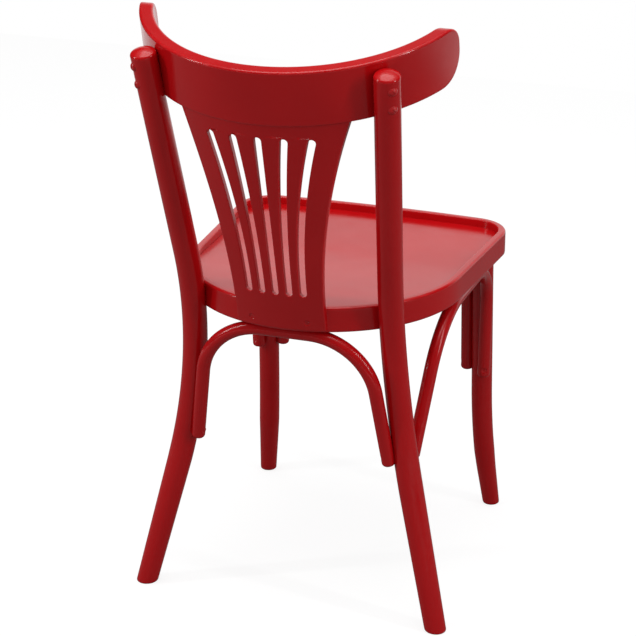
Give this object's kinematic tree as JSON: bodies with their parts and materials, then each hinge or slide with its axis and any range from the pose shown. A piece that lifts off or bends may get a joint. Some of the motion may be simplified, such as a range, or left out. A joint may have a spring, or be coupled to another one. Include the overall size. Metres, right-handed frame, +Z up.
{
  "type": "bistro chair",
  "caption": "Painted bentwood side chair with a dished seat in a bent ring, a slotted fan splat, a curved crest rail on round posts, and bent arch braces between the legs.",
  "frame": {"origin": "middle of the chair's box seen from above, at floor level", "axes": "+Z up, the sitter faces -Y, the back stands at +Y, +X is the sitter's left; the chair is symmetric about the plane x = 0"},
  "size_m": [0.4644, 0.55, 0.8464],
  "materials": {
    "frame_lacquer": "steam-bent beech under satin red lacquer",
    "seat_lacquer": "moulded plywood under satin red lacquer",
    "painted_screws": "steel screws painted over with the wood",
    "plain_steel": "zinc-plated steel"
  },
  "bodies": {
    "root": {"crest_rail": "frame_lacquer", "splat": "frame_lacquer", "seat_ring": "frame_lacquer", "rear_leg_left": "frame_lacquer", "rear_leg_right": "frame_lacquer", "front_leg_left": "frame_lacquer", "front_leg_right": "frame_lacquer", "rear_arch": "frame_lacquer", "front_arch": "frame_lacquer", "side_arch_left": "frame_lacquer", "side_arch_right": "frame_lacquer", "corner_block_left": "frame_lacquer", "corner_block_right": "frame_lacquer", "seat_panel": "seat_lacquer", "crest_screws": "painted_screws", "splat_screws": "painted_screws", "arch_end_screws": "painted_screws", "arch_crown_screws": "plain_steel", "corner_block_screws": "plain_steel", "rear_leg_bolts": "plain_steel", "rear_leg_washers": "plain_steel", "rear_leg_inserts": "plain_steel"}
  },
  "joints": []
}
